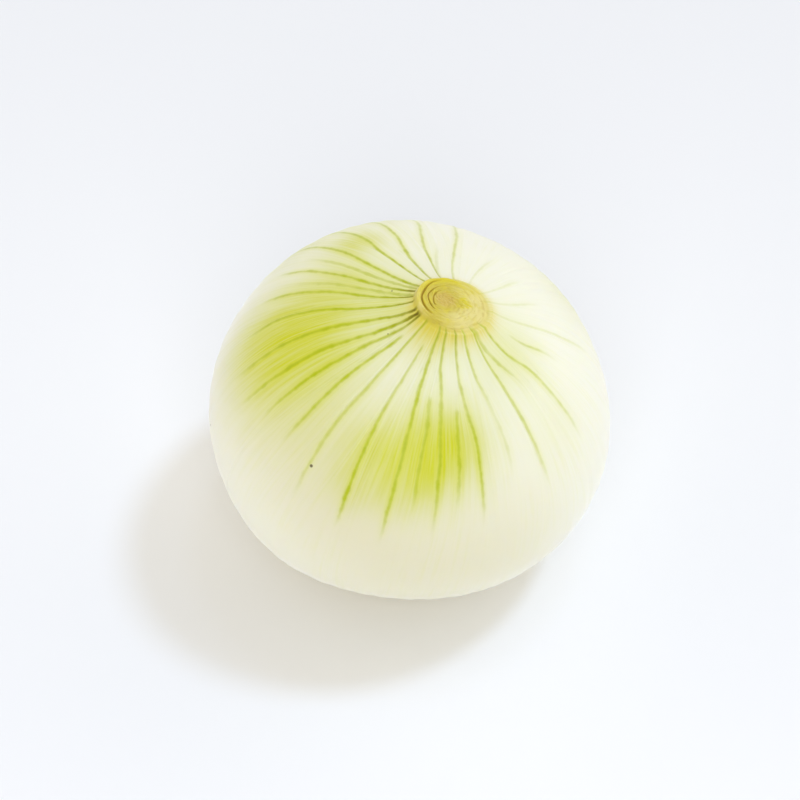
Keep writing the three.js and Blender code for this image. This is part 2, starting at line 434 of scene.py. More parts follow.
@dataclass
class VeinNet:
    """The veins' routes down the bulb, as bearings at each level, with how strong and dark they are."""

    shape: BulbShape
    view: PhotoView
    levels: np.ndarray
    spacing: float = 6.4
    least_gap: float = 1.4
    fade_in: float = 2.5
    fade_out: float = 11.0
    dark_reach: float = 8.0
    tip_reach: float = 3.0
    turned_away: float = 0.3
    hidden_end: float = 104.0
    hidden_fade: float = 14.0
    even_rings: int = 7
    late_start: float = 6.0
    neck_dark: float = 0.55
    pushes: int = 60
    seed: int = 11
    bearings: np.ndarray = field(init=False)
    strength: np.ndarray = field(init=False)
    dark: np.ndarray = field(init=False)

    def __post_init__(self) -> None:
        """Works out every route, then adds the veins of the side that the photo doesn't show."""
        counts = [len(vein.pixels) for vein in SEEN_VEINS]
        every = np.array([pixel for vein in SEEN_VEINS for pixel in vein.pixels], float)
        places = np.split(self.view.locate(every, self.shape), np.cumsum(counts)[:-1])
        routes = [self.route(vein, place) for vein, place in zip(SEEN_VEINS, places)]
        routes += self.hidden_routes(np.array([route[0] for route in routes]))
        order = np.argsort([route[0][len(self.levels) // 2] for route in routes])
        self.bearings, self.strength, self.dark = (
            np.array([routes[i][part] for i in order]) for part in range(3)
        )
        self.spread()

    def facing(self, bearing: np.ndarray) -> np.ndarray:
        """How squarely each level of a route faces the camera."""
        return self.view.facing(self.shape.skin(self.levels, bearing), self.shape)

    def route(self, vein: Vein, places: np.ndarray) -> tuple[np.ndarray, np.ndarray, np.ndarray]:
        """Follows one seen vein over all the levels.

        Args:
            vein: The vein.
            places: Its points, each an angle from the neck and a bearing.

        Returns:
            Its bearing, strength and darkness at each level.
        """
        places = places[np.argsort(places[:, 0])]
        turned = np.unwrap(places[:, 1])
        turned = turned - 2 * np.pi * np.round((turned.mean() - np.pi / 2) / (2 * np.pi))
        bearing = np.interp(self.levels, places[:, 0], turned)
        window = np.hanning(2 * self.even_rings + 1)
        padded = np.pad(bearing, self.even_rings, mode="edge")
        bearing = np.convolve(padded, window / window.sum(), mode="valid")
        first, last = places[0, 0], places[-1, 0]
        at_end = self.shape.skin(places[-1, :1], places[-1, 1:])
        if self.view.facing(at_end, self.shape)[0] < self.turned_away:
            last = max(last, np.radians(self.hidden_end))
        along = (self.levels - first) / (last - first)
        vigours = [vigour.value for vigour in vein.vigours]
        strength = np.interp(along, np.linspace(0, 1, len(vigours)), vigours)
        if first > self.shape.neck_angle + np.radians(self.late_start):
            strength = strength * smooth(1 + (self.levels - first) / np.radians(self.fade_in))
        strength = strength * smooth(0.4 - (self.levels - last) / np.radians(self.fade_out))
        return bearing, strength, self.darkness(vein.neck_end)

    def darkness(self, neck_end: NeckEnd) -> np.ndarray:
        """How dark a vein is at each level: most at the neck."""
        reach = np.degrees(self.levels - self.shape.neck_angle)
        fading = self.neck_dark * (np.exp(-reach / self.dark_reach) + np.exp(-reach / self.tip_reach))
        return np.clip(neck_end.value * fading, 0, 1)

    def hidden_routes(self, seen: np.ndarray) -> list[tuple[np.ndarray, np.ndarray, np.ndarray]]:
        """Fills the wide gaps between the seen veins with paler ones, spaced evenly but for a draw.

        Args:
            seen: Bearings of the seen veins, one row a vein.

        Returns:
            The bearing, strength and darkness of each new vein.
        """
        draw = np.random.default_rng(self.seed)
        at_equator = np.sort(seen[:, len(self.levels) // 2])
        wrapped = np.append(at_equator, at_equator[0] + 2 * np.pi)
        new = []
        for low, high in zip(wrapped[:-1], wrapped[1:]):
            count = int(round(np.degrees(high - low) / self.spacing)) - 1
            for i in range(max(count, 0)):
                bearing = low + (high - low) * (i + 1 + draw.uniform(-0.22, 0.22)) / (count + 1)
                sway = np.radians(3) * np.sin(self.levels * draw.uniform(1.5, 3) + draw.uniform(0, 6))
                unseen = smooth((0.02 - self.facing(bearing + sway)) / 0.3)
                ends_at = draw.uniform(0.9, 1.1) * self.hidden_end
                ends = smooth((ends_at - np.degrees(self.levels)) / self.hidden_fade)
                strength = draw.uniform(0.25, 0.8) * unseen * ends
                new.append((bearing + sway, strength, self.darkness(NeckEnd.PALE)))
        return new

    def spread(self) -> None:
        """Pushes neighbouring routes apart wherever they come closer than the least gap."""
        least = np.radians(self.least_gap)
        turn = np.zeros_like(self.bearings)
        turn[-1] = 2 * np.pi
        for _ in range(self.pushes):
            ahead = np.roll(self.bearings, -1, axis=0) + turn
            lack = np.clip(least - (ahead - self.bearings), 0, None) / 2
            self.bearings = self.bearings - lack + np.roll(lack, 1, axis=0)


@dataclass(frozen=True)
class Patch:
    """A soft patch of greened flesh, or of painted shade, at a pixel of the photo, with its reach in mm.
    """

    pixel: tuple[int, int]
    reach: float
    strength: float


@dataclass(frozen=True)
class Speck:
    """A dark grain on the scale, at a pixel of the photo, with its width in mm."""

    pixel: tuple[int, int]
    width: float


@dataclass(frozen=True)
class ScaleFlesh:
    """Onion scale leaf: wet pale flesh under a thin waxy skin, and its cut top.

    The flesh lets light in and scatters it, which softens its shades, and the wax gives a silky
    gloss with broad highlights. Green lies in the veins and in the patches that saw daylight. The
    cut ends of the leaf sheaths have lost their wax, so they are dull, and they tan as they dry.
    The gaps and creases between the sheaths are darker brown, partly dried tissue and partly
    painted shade of the recesses.
    """

    near_neck: str = "#EFEFDA"
    cheek: str = "#F4F3E0"
    low: str = "#F4F1DD"
    # Darker, yellower flesh: painted shade on the lower front, where the bulb turns down from the light
    under: str = "#DCC880"
    cream: str = "#E0DAB4"
    haze: str = "#D9DE50"
    blush: str = "#CFD109"
    vein: str = "#B6C000"
    vein_dark: str = "#705C04"
    stain: str = "#DACA40"
    sheath: str = "#CFC04C"
    # Pale colour of the cut's gentle right slope, and of a band on the left rim that is partly its own
    # pale edge and partly painted light
    slope: str = "#E3D788"
    wash: str = "#E0D470"
    gold: str = "#D8CB26"
    # Darker brown in the gaps and creases between the cut sheaths: partly dried tissue, partly painted
    # shade of the recesses
    gap: str = "#B4941E"
    heart: str = "#D0B660"
    speck: str = "#4A3518"
    ior: float = 1.38
    roughness: float = 0.38
    cut_roughness: float = 0.62
    bloom: float = 0.4
    scatter_depth: float = 0.9
    vein_half_width: float = 0.62
    halo_half_width: float = 1.9
    sway: float = 0.1
    specks: tuple[Speck, ...] = (
        Speck((311, 466), 0.8),
        Speck((392, 291), 0.35),
        Speck((388, 334), 0.3),
        Speck((211, 425), 0.6),
    )

    def material(self, shape: BulbShape, view: PhotoView) -> bpy.types.Material:
        """Makes the material.

        Args:
            shape: The bulb that it covers.
            view: The camera through which the specks find their places.

        Returns:
            The material, which reads the mesh's grain map and its painted shares.
        """
        material, tree = new_material("onion_scale_flesh")
        grain = add_node(tree, "ShaderNodeUVMap", uv_map=GRAIN)
        place = add_node(tree, "ShaderNodeTexCoord", out="Object")
        share = self.gather(tree, grain, place)
        self.measure_veins(tree, share, grain)
        self.ease(tree, share)
        self.scatter_specks(tree, share, place, shape, view)
        dull = {"Factor_Float": share["cut"], "A_Float": self.roughness, "B_Float": self.cut_roughness}
        mixed = {"Factor_Float": share["cut"], "A_Float": share["streaks"], "B_Float": share["rings"]}
        lines = add_node(tree, "ShaderNodeMix", mixed)
        heights = {"Value": share["fine"], "Value_001": 0.35, "Value_002": lines}
        relief = add_node(tree, "ShaderNodeMath", heights, operation="MULTIPLY_ADD")
        bumped = {"Height": relief, "Strength": 0.16, "Distance": 0.08 * MM}
        skin = {
            "Base Color": self.lay_colours(tree, share),
            "Roughness": add_node(tree, "ShaderNodeMix", dull),
            "IOR": self.ior,
            "Sheen Weight": self.bloom,
            "Sheen Roughness": 0.35,
            "Subsurface Weight": 0.35,
            "Subsurface Radius": (1.0, 0.85, 0.45),
            "Subsurface Scale": self.scatter_depth * MM,
            "Normal": add_node(tree, "ShaderNodeBump", bumped),
        }
        shader = add_node(tree, "ShaderNodeBsdfPrincipled", skin)
        add_node(tree, "ShaderNodeOutputMaterial", {"Surface": shader})
        return material

    def gather(self, tree: bpy.types.NodeTree, grain: bpy.types.NodeSocket,
               place: bpy.types.NodeSocket) -> dict[str, bpy.types.NodeSocket]:
        """Gathers the painted shares and the noises.

        Args:
            tree: The material's node tree.
            grain: The vein number and the way down, in fives of millimetres.
            place: The point's place in metres.

        Returns:
            Sockets by name.
        """
        painted = ("gap_mm", "vein", "dark", "blush", "stain", "wash", "cream", "cut", "down")
        share = {}
        for name in (*painted, "gap", "gold", "heart", "slope"):
            share[name] = add_node(tree, "ShaderNodeAttribute", out="Fac", attribute_name=name)

        # Noises: stretched along the fibres, in turns of the veins and in fives of millimetres,
        # or even all round, by the size of one blotch
        noises = {
            "wander": (grain, (0.9, 1.2, 1), 4.0),
            "breadth": (grain, (1.6, 2.2, 1), 4.0),
            "streaks": (grain, (7.0, 0.3, 1), 4.0),
            "rings": (grain, (0.45, 9.0, 1), 4.0),
            "cloud": (place, (1 / (14 * MM),) * 3, 3.0),
            "mottle": (place, (1 / (1.6 * MM),) * 3, 4.0),
            "fine": (place, (1 / (0.9 * MM),) * 3, 2.0),
        }
        for name, (source, scale, detail) in noises.items():
            stretched = add_node(tree, "ShaderNodeMapping", {"Vector": source, "Scale": scale})
            noise = {"Vector": stretched, "Scale": 1.0, "Detail": detail}
            share[name] = add_node(tree, "ShaderNodeTexNoise", noise)
        return share

    def measure_veins(self, tree: bpy.types.NodeTree, share: dict[str, bpy.types.NodeSocket],
                      grain: bpy.types.NodeSocket) -> None:
        """Works out how far each point is from the nearest vein, with a little wander.

        Args:
            tree: The material's node tree.
            share: Sockets by name. This adds the distance in millimetres, plain and narrowed.
            grain: The vein number and the way down.
        """
        limits = {"Value": share["breadth"], "From Min": 0.3, "From Max": 0.7, "To Min": 1.5}
        share["narrowed"] = add_node(tree, "ShaderNodeMapRange", {**limits, "To Max": 0.75})
        share["number"] = add_node(tree, "ShaderNodeSeparateXYZ", {"Vector": grain}, out="X")
        steps = {
            "swayed": ("MULTIPLY_ADD", "wander", self.sway, 0.5 - self.sway / 2),
            "shifted": ("ADD", "number", "swayed"),
            "part": ("FRACT", "shifted"),
            "off": ("SUBTRACT", "part", 0.5),
            "aside": ("ABSOLUTE", "off"),
            "away": ("MULTIPLY", "aside", "gap_mm"),
            "beside": ("MULTIPLY", "away", "narrowed"),
        }
        for name, (operation, *terms) in steps.items():
            values = zip(("Value", "Value_001", "Value_002"), terms)
            inputs = {to: share.get(term, term) for to, term in values}
            share[name] = add_node(tree, "ShaderNodeMath", inputs, operation=operation)

    def ease(self, tree: bpy.types.NodeTree, share: dict[str, bpy.types.NodeSocket]) -> None:
        """Eases shares from one value to another, then multiplies some in pairs.

        Args:
            tree: The material's node tree.
            share: Sockets by name, added to and replaced.
        """
        # What each reads, its two limits, and its values there
        ramps = {
            "line": ("beside", 0.1, self.vein_half_width, 1.0, 0.0),
            "halo": ("away", 0.0, self.halo_half_width, 0.7, 0.0),
            "beyond": ("down", 0.02, 0.14, 0.55, 1.0),
            "ragged": ("breadth", 0.25, 0.75, 0.6, 1.15),
            "fibre": ("streaks", 0.42, 0.72, 0.0, 0.7),
            "patchy": ("streaks", 0.3, 0.7, 0.84, 1.1),
            "torn": ("streaks", 0.3, 0.65, 0.72, 1.12),
            "hazy": ("cloud", 0.35, 0.7, 0.03, 0.2),
            "cheek": ("down", 0.0, 0.3, 0.0, 1.0),
            "low": ("down", 0.45, 0.75, 0.0, 1.0),
            "under": ("down", 0.64, 0.98, 0.0, 1.0),
            "tan": ("mottle", 0.46, 0.68, 0.0, 0.4),
            "ring": ("rings", 0.5, 0.7, 0.0, 0.28),
        }
        for name, (read, start, end, low, high) in ramps.items():
            limits = {"From Min": start, "From Max": end, "To Min": low, "To Max": high}
            limits["Value"] = share[read]
            share[name] = add_node(tree, "ShaderNodeMapRange", limits, interpolation_type="SMOOTHSTEP")
        products = {
            "strong": ("vein", "ragged"),
            "line": ("line", "strong"),
            "halo": ("halo", "vein"),
            "haze": ("halo", "beyond"),
            "fibre": ("fibre", "hazy"),
            "blush": ("blush", "patchy"),
            "stain": ("stain", "torn"),
            "wash": ("wash", "torn"),
            "dark": ("line", "dark"),
            "tan": ("tan", "cut"),
            "ring": ("ring", "cut"),
            "slope": ("slope", "cut"),
        }
        for name, (first, second) in products.items():
            pair = {"Value": share[first], "Value_001": share[second]}
            share[name] = add_node(tree, "ShaderNodeMath", pair, operation="MULTIPLY", use_clamp=True)

    def scatter_specks(self, tree: bpy.types.NodeTree, share: dict[str, bpy.types.NodeSocket],
                       place: bpy.types.NodeSocket, shape: BulbShape, view: PhotoView) -> None:
        """Works out how deep each point lies in each dark speck.

        Args:
            tree: The material's node tree.
            share: Sockets by name. This adds one for each speck.
            place: The point's place in metres.
            shape: The bulb.
            view: The camera that the specks' pixels belong to.
        """
        spots = view.locate(np.array([speck.pixel for speck in self.specks], float), shape)
        for i, (speck, spot) in enumerate(zip(self.specks, spots)):
            apart = {"Vector": place, "Vector_001": tuple(shape.skin(*spot) * MM)}
            gone = add_node(tree, "ShaderNodeVectorMath", apart, operation="DISTANCE")
            core, edge = speck.width * MM * 0.3, speck.width * MM * 0.6
            limits = {"Value": gone, "From Min": core, "From Max": edge, "To Min": 0.85, "To Max": 0.0}
            eased = add_node(tree, "ShaderNodeMapRange", limits, interpolation_type="SMOOTHSTEP")
            share[f"speck_{i}"] = eased

    def lay_colours(self, tree: bpy.types.NodeTree,
                    share: dict[str, bpy.types.NodeSocket]) -> bpy.types.NodeSocket:
        """Lays the colours one over another, from the flesh's own to the specks.

        Args:
            tree: The material's node tree.
            share: How much of each colour shows, by the colour's name.

        Returns:
            The colour of the surface.
        """
        layers = {
            "cheek": self.cheek,
            "low": self.low,
            "under": self.under,
            "cream": self.cream,
            "fibre": self.haze,
            "haze": self.haze,
            "blush": self.blush,
            "wash": self.wash,
            "cut": self.sheath,
            "slope": self.slope,
            "tan": self.gold,
            "stain": self.stain,
            "line": self.vein,
            "dark": self.vein_dark,
            "heart": self.heart,
            "ring": self.gap,
            "gold": self.gold,
            "gap": self.gap,
        }
        layers.update({f"speck_{i}": self.speck for i in range(len(self.specks))})
        colour = linear(self.near_neck)
        for name, over in layers.items():
            pair = {"Factor_Float": share[name], "A_Color": colour, "B_Color": linear(over)}
            colour = add_node(tree, "ShaderNodeMix", pair, data_type="RGBA")
        return colour


@dataclass(frozen=True)
class DryRoot:
    """Root plate and roots: dried, corky plant tissue, dull, pale straw with brown where it is oldest."""

    straw: str = "#D8C08A"
    brown: str = "#8A6A3A"
    ior: float = 1.45
    roughness: float = 0.8
    fibre: float = 0.7

    def material(self) -> bpy.types.Material:
        """Makes the material, with blotches as wide as a bundle of root fibres."""
        material, tree = new_material("dried_root")
        place = add_node(tree, "ShaderNodeTexCoord", out="Object")
        size = 1 / (self.fibre * MM)
        blotch = add_node(tree, "ShaderNodeTexNoise", {"Vector": place, "Scale": size, "Detail": 5.0})
        limits = {"Value": blotch, "From Min": 0.38, "From Max": 0.7, "To Min": 0.0, "To Max": 0.85}
        browned = add_node(tree, "ShaderNodeMapRange", limits, interpolation_type="SMOOTHSTEP")
        pair = {"Factor_Float": browned, "A_Color": linear(self.straw), "B_Color": linear(self.brown)}
        shader = add_node(
            tree,
            "ShaderNodeBsdfPrincipled",
            {
                "Base Color": add_node(tree, "ShaderNodeMix", pair, data_type="RGBA"),
                "Roughness": self.roughness,
                "IOR": self.ior,
                "Normal": add_node(
                    tree, "ShaderNodeBump", {"Height": blotch, "Strength": 0.6, "Distance": 0.2 * MM}
                ),
            },
        )
        add_node(tree, "ShaderNodeOutputMaterial", {"Surface": shader})
        return material


@dataclass(frozen=True)
class StudioPaper:
    """Matt white background paper: no gloss, with a faint cool tint."""

    white: str = "#F4F5F7"
    roughness: float = 0.9
    grain: float = 1.2

    def material(self) -> bpy.types.Material:
        """Makes the material, with a barely seen grain as wide as a tangle of paper fibres."""
        material, tree = new_material("studio_paper")
        place = add_node(tree, "ShaderNodeTexCoord", out="Object")
        grain = add_node(tree, "ShaderNodeTexNoise", {"Vector": place, "Scale": 1 / (self.grain * MM)})
        shader = add_node(
            tree,
            "ShaderNodeBsdfPrincipled",
            {
                "Base Color": linear(self.white),
                "Roughness": self.roughness,
                "Specular IOR Level": 0.2,
                "Normal": add_node(
                    tree, "ShaderNodeBump", {"Height": grain, "Strength": 0.05, "Distance": 0.05 * MM}
                ),
            },
        )
        add_node(tree, "ShaderNodeOutputMaterial", {"Surface": shader})
        return material


def lathe_faces(rows: int, columns: int) -> list[tuple[int, ...]]:
    """Makes the faces of a closed turned body.

    Args:
        rows: Rings of points, from the lowest up.
        columns: Points in each ring.

    Returns:
        Faces over the rings' points, with a fan to the low pole point and one to the high pole point,
        which follow the rings' points.
    """
    faces = []
    low, high = rows * columns, rows * columns + 1
    for c in range(columns):
        n = (c + 1) % columns
        faces.append((low, n, c))
        for r in range(rows - 1):
            faces.append((r * columns + c, r * columns + n, (r + 1) * columns + n, (r + 1) * columns + c))
        faces.append(((rows - 1) * columns + c, (rows - 1) * columns + n, high))
    return faces


def lathe_grain(across: np.ndarray, along: np.ndarray) -> np.ndarray:
    """Makes the grain map for the faces of lathe_faces.

    Args:
        across: One value a column, and one more for the column where the turn closes.
        along: One value a ring.

    Returns:
        A pair of values for each corner of each face.
    """
    pairs = []
    for c in range(len(across) - 1):
        here, there = across[c], across[c + 1]
        pairs += [(here, along[0]), (there, along[0]), (here, along[0])]
        for r in range(len(along) - 1):
            pairs += [(here, along[r]), (there, along[r]), (there, along[r + 1]), (here, along[r + 1])]
        pairs += [(here, along[-1]), (there, along[-1]), (here, along[-1])]
    return np.array(pairs)


def make_piece(name: str, points: np.ndarray, faces: list,
               material: bpy.types.Material) -> bpy.types.Object:
    """Makes a smooth mesh object and sets it riding.

    Args:
        name: The piece's name.
        points: Places in millimetres.
        faces: Corners of each face.
        material: Its finish.

    Returns:
        The object, riding on the onion's body.
    """
    mesh = bpy.data.meshes.new(name)
    mesh.from_pydata((points * MM).tolist(), [], faces)
    mesh.polygons.foreach_set("use_smooth", np.ones(len(mesh.polygons), bool))
    mesh.materials.append(material)
    mesh.update()
    piece = bpy.data.objects.new(name, mesh)
    bpy.context.scene.collection.objects.link(piece)
    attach(piece, BODY)
    return piece


def paint_shares(piece: bpy.types.Object, shares: dict[str, np.ndarray]) -> None:
    """Stores shares on a mesh, by name, one value a point."""
    for name, values in shares.items():
        attribute = piece.data.attributes.new(name, "FLOAT", "POINT")
        attribute.data.foreach_set("value", np.asarray(values, np.float32).ravel())


def lay_grain(piece: bpy.types.Object, pairs: np.ndarray) -> None:
    """Stores the grain map on a mesh, one pair a corner."""
    layer = piece.data.uv_layers.new(name=GRAIN)
    layer.data.foreach_set("uv", pairs.astype(np.float32).ravel())


@dataclass(frozen=True)
class Gap:
    """A gap between two cut sheaths: its edges' distances from the core and its depth, in mm."""

    outer: float
    inner: float
    depth: float


@dataclass(frozen=True)
class NeckCut:
    """The cut top of the neck: ends of nested leaf sheaths round a core, with gaps open on one side."""

    shape: BulbShape
    rows: int = 82
    sharp_edge: float = 0.8
    soft_edge: float = 3.4
    gaps: tuple[Gap, ...] = (Gap(6.1, 5.3, 0.5), Gap(4.2, 3.6, 0.45), Gap(2.9, 2.3, 0.35))
    creases: tuple[float, ...] = (6.6, 4.6, 3.1, 1.6, 0.95)
    crease_depth: float = 0.07
    crease_width: float = 0.1
    gap_seed: int = 20
    crease_seed: int = 40
    break_seed: int = 50
    wall: float = 0.3
    wander: float = 0.16
    least_open: float = 0.05
    unevenness: float = 0.1
    fold_bearing: float = 8.0
    fold_out: float = 3.6
    fold_height: float = 0.35
    gold_towards: float = 112.0
    # Place and width of the left rim's pale band, partly its own edge and partly painted light
    lip_at: float = 6.75
    lip_width: float = 0.55

    def outs(self) -> np.ndarray:
        """Distances from the core of the neck's rings, from its edge inwards, one a ring."""
        return np.linspace(self.shape.neck_radius, 0.1, self.rows + 1)[1:, None]

    def open_share(self, around: np.ndarray) -> np.ndarray:
        """How far the gaps stand open at a bearing: in full towards the core's side."""
        towards = np.cos(around - np.radians(self.shape.core_towards + 8))
        return self.least_open + (1 - self.least_open) * smooth((towards - 0.35) / 0.55)

    def rise(self, around: np.ndarray) -> np.ndarray:
        """Height of each ring over the shoulder, as a share: steep on the core's side, gentle beyond."""
        facing = (1 + np.cos(around - np.radians(self.shape.core_towards))) / 2
        width = self.soft_edge + (self.sharp_edge - self.soft_edge) * facing
        return smooth((self.shape.neck_radius - self.outs()) / width)

    def sunk(self, around: np.ndarray) -> tuple[np.ndarray, np.ndarray]:
        """Works out how far the cut surface lies below its even level.

        Args:
            around: Bearings, one a column.

        Returns:
            Depths in millimetres, and how much of a gap each point lies in, by ring and column.
        """
        out, open_share = self.outs(), self.open_share(around)
        depth = np.zeros((len(out), len(around)))
        shown = np.zeros_like(depth)
        # The gaps, and more faintly the creases, get the darker gap colour: partly dried tissue, partly
        # painted shade
        for i, gap in enumerate(self.gaps):
            moved = out + self.wander * waves(around, self.gap_seed + i, 2, 5)
            share = smooth((gap.outer - moved) / self.wall) * smooth((moved - gap.inner) / self.wall)
            depth = depth + gap.depth * share * open_share
            shown = np.maximum(shown, share * open_share)
        for i, crease in enumerate(self.creases):
            moved = out - crease - self.wander * waves(around, self.crease_seed + i, 1, 5)
            broken = 0.6 + 0.4 * waves(around, self.break_seed + i, 2, 6)
            share = np.exp(-((moved / self.crease_width) ** 2)) * broken
            depth = depth + self.crease_depth * share
            shown = np.maximum(shown, 0.3 * share)
        uneven = waves(around, 9, 2, 8) * smooth(out / 2)
        uneven = uneven + waves(around + out * 0.6, 13, 5, 9) * smooth(out)
        depth = depth - self.unevenness * uneven * smooth((self.shape.neck_radius - out) / 1.5)
        return depth - self.fold(around), shown

    def fold(self, around: np.ndarray) -> np.ndarray:
        """Height of the small torn fold of yellowed sheath beside the core."""
        out = self.outs()
        aside = (around - np.radians(self.fold_bearing) + np.pi) % (2 * np.pi) - np.pi
        across = aside * out / 1.1
        along = (out - self.fold_out + 0.35 * np.sin(aside * 9)) / 0.42
        teeth = 0.65 + 0.35 * np.sin(aside * 31 + out * 3)
        return self.fold_height * teeth * np.exp(-0.5 * (across**2 + along**2))

    def shares(self, around: np.ndarray, shown: np.ndarray) -> dict[str, np.ndarray]:
        """Works out what the finish reads on the cut surface.

        Args:
            around: Bearings, one a column.
            shown: How much of a gap each point lies in.

        Returns:
            The shares by name, by ring and column.
        """
        out = self.outs()
        behind = np.clip(np.cos(around - np.radians(self.gold_towards)), 0, 1)
        gold = 0.85 * behind * smooth((out - 4.4) / 1.2)
        gold = np.maximum(gold, np.clip(2.2 * self.fold(around) / self.fold_height, 0, 0.8))
        right = (1 - np.cos(around - np.radians(self.shape.core_towards))) / 2
        # The left rim's pale band: partly its own pale edge, partly painted light where the rim faces away
        # from the light
        pale_lip_and_light = smooth((0.3 - right) / 0.25) * np.exp(-(((out - self.lip_at) / self.lip_width) ** 2))
        return {
            "cut": smooth(self.rise(around) / 0.2),
            # Darker colour in the gaps and creases, partly painted shade
            "gap": shown,
            "gold": gold,
            "heart": 0.75 * (1 - smooth((out - 1.2) / 1.6)) + 0 * around,
            "slope": np.maximum(smooth((right - 0.35) / 0.5) * smooth((out - 2.2) / 2), pale_lip_and_light),
        }


@dataclass
class Bulb:
    """The outer scale, from the crease round the root plate up to the middle of the cut neck."""

    shape: BulbShape
    view: PhotoView
    finish: ScaleFlesh
    rows: int = 140
    rows_crowd: float = 1.2
    per_vein: int = 6
    gone_by: float = 0.6
    rib_height: float = 0.05
    low_rib_height: float = 0.07
    swell_height: float = 0.3
    swell_waves: int = 14
    rib_eases: float = 35.0
    low_ribs_from: float = 85.0
    stain_towards: float = -128.0
    wash_towards: float = -80.0
    # Each pair: all round the neck, and what the named side adds
    stain_share: tuple[float, float] = (0.1, 0.9)
    stain_reach: tuple[float, float] = (0.8, 2.6)
    wash_share: tuple[float, float] = (0.3, 0.65)
    wash_reach: tuple[float, float] = (0.8, 1.2)
    blushes: tuple[Patch, ...] = (
        Patch((282, 345), 9.5, 0.92),
        Patch((252, 350), 7.0, 0.42),
        Patch((322, 318), 8.0, 0.58),
        Patch((316, 352), 6.0, 0.4),
        Patch((345, 282), 8.0, 0.35),
        Patch((357, 243), 4.0, 0.7),
        Patch((396, 300), 4.5, 0.5),
        Patch((446, 448), 6.0, 0.9),
        Patch((420, 462), 6.0, 0.86),
        Patch((378, 452), 4.5, 0.68),
        Patch((354, 486), 4.0, 0.35),
        Patch((400, 490), 4.5, 0.3),
        Patch((330, 420), 9.0, 0.25),
        Patch((270, 395), 7.0, 0.25),
        Patch((434, 338), 3.5, 0.4),
        Patch((505, 352), 6.0, 0.38),
        Patch((556, 425), 6.0, 0.15),
    )
    # Painted shade: darker patches on the lower front of the bulb
    low_front_shades: tuple[Patch, ...] = (
        Patch((340, 500), 12, 0.5),
        Patch((400, 570), 14, 0.5),
        Patch((500, 540), 12, 0.45),
        Patch((300, 430), 9, 0.4),
    )
    hidden_blushes: int = 4
    hidden_from: float = 30.0
    hidden_over: float = 120.0
    seed: int = 3

    def levels(self) -> np.ndarray:
        """Angles from the neck of the flesh's rings, from the root plate up, in radians."""
        left = (1 - np.linspace(0, 1, self.rows)) ** self.rows_crowd
        neck, base = self.shape.neck_angle, self.shape.base_angle
        return neck + (base - neck) * left

    def build(self) -> bpy.types.Object:
        """Builds and dresses the outer scale.

        Returns:
            The piece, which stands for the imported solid.
        """
        shape, neck, levels = self.shape, NeckCut(self.shape), self.levels()
        net = VeinNet(shape, self.view, levels)
        count = len(net.bearings)
        number = np.arange(count * self.per_vein) / self.per_vein
        vein, part = np.floor(number).astype(int), number % 1.0
        ahead = (vein + 1) % count
        turn = np.where(ahead == 0, 2 * np.pi, 0.0)
        gaps = net.bearings[ahead].T + turn - net.bearings[vein].T
        around = net.bearings[vein].T + part * gaps

        flesh = shape.skin(levels[:, None], around)
        flesh = flesh + self.relief(flesh, number, levels)
        neck_around = around[-1]
        depth, shown = neck.sunk(neck_around)
        over_shoulder = shape.neck_height * neck.rise(neck_around)
        top = shape.grow(neck.outs(), shape.shoulder + over_shoulder, neck_around)
        top[..., 2] -= depth
        points = np.vstack([flesh, top])
        ends = [[0, 0, points[0, :, 2].min() + 0.6], top[-1].mean(axis=0)]
        everything = np.vstack([points.reshape(-1, 3), ends])
        rows, columns = points.shape[:2]
        piece = make_piece(
            "onion_bulb", everything, lathe_faces(rows, columns), self.finish.material(shape, self.view)
        )
        lay_grain(piece, lathe_grain(np.append(number, count), self.lengths(points)))

        strength = net.strength[vein].T * (1 - part) + net.strength[ahead].T * part
        dark = net.dark[vein].T * (1 - part) + net.dark[ahead].T * part
        gap_mm = gaps * shape.plain_point(levels)[0][:, None]
        gap_mm = np.where(part == 0, (gap_mm + np.roll(gap_mm, 1, axis=1)) / 2, gap_mm)
        down = (levels - shape.neck_angle) / (shape.base_angle - shape.neck_angle)
        on_flesh = {
            "vein": strength,
            "dark": dark,
            "gap_mm": gap_mm,
            "blush": self.seen_patches(flesh, self.blushes) + self.hidden_patches(flesh),
            # The painted shade of the lower front
            "cream": self.seen_patches(flesh, self.low_front_shades),
            "down": np.repeat(down[:, None], columns, axis=1),
            "stain": self.stain(levels, around),
            "wash": self.wash(levels, around),
        }
        on_neck = neck.shares(neck_around, shown)
        self.paint(piece, on_flesh, on_neck, neck.rise(neck_around))
        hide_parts(NODE)
        log.info("%s: %d veins, %d points", piece.name, count, len(everything))
        return piece

    def paint(self, piece: bpy.types.Object, on_flesh: dict[str, np.ndarray],
              on_neck: dict[str, np.ndarray], rise: np.ndarray) -> None:
        """Stores the shares, each carried from the flesh to the neck or the other way.

        Args:
            piece: The bulb's mesh.
            on_flesh: Shares by name on the flesh's rings.
            on_neck: Shares by name on the neck's rings.
            rise: Height of the neck's rings as a share, over which the veins fade.
        """
        shares = {}
        for name, values in on_flesh.items():
            held = np.repeat(values[-1:], len(rise), axis=0)
            if name in ("vein", "stain", "wash", "blush"):
                held = held * (1 - smooth(rise / self.gone_by))
            shares[name] = np.append(np.vstack([values, held]).ravel(), [0, held[-1].mean()])
        rings = len(on_flesh["vein"])
        for name, values in on_neck.items():
            none = np.zeros((rings, values.shape[1]))
            shares[name] = np.append(np.vstack([none, values]).ravel(), [0, values[-1].mean()])
        paint_shares(piece, shares)

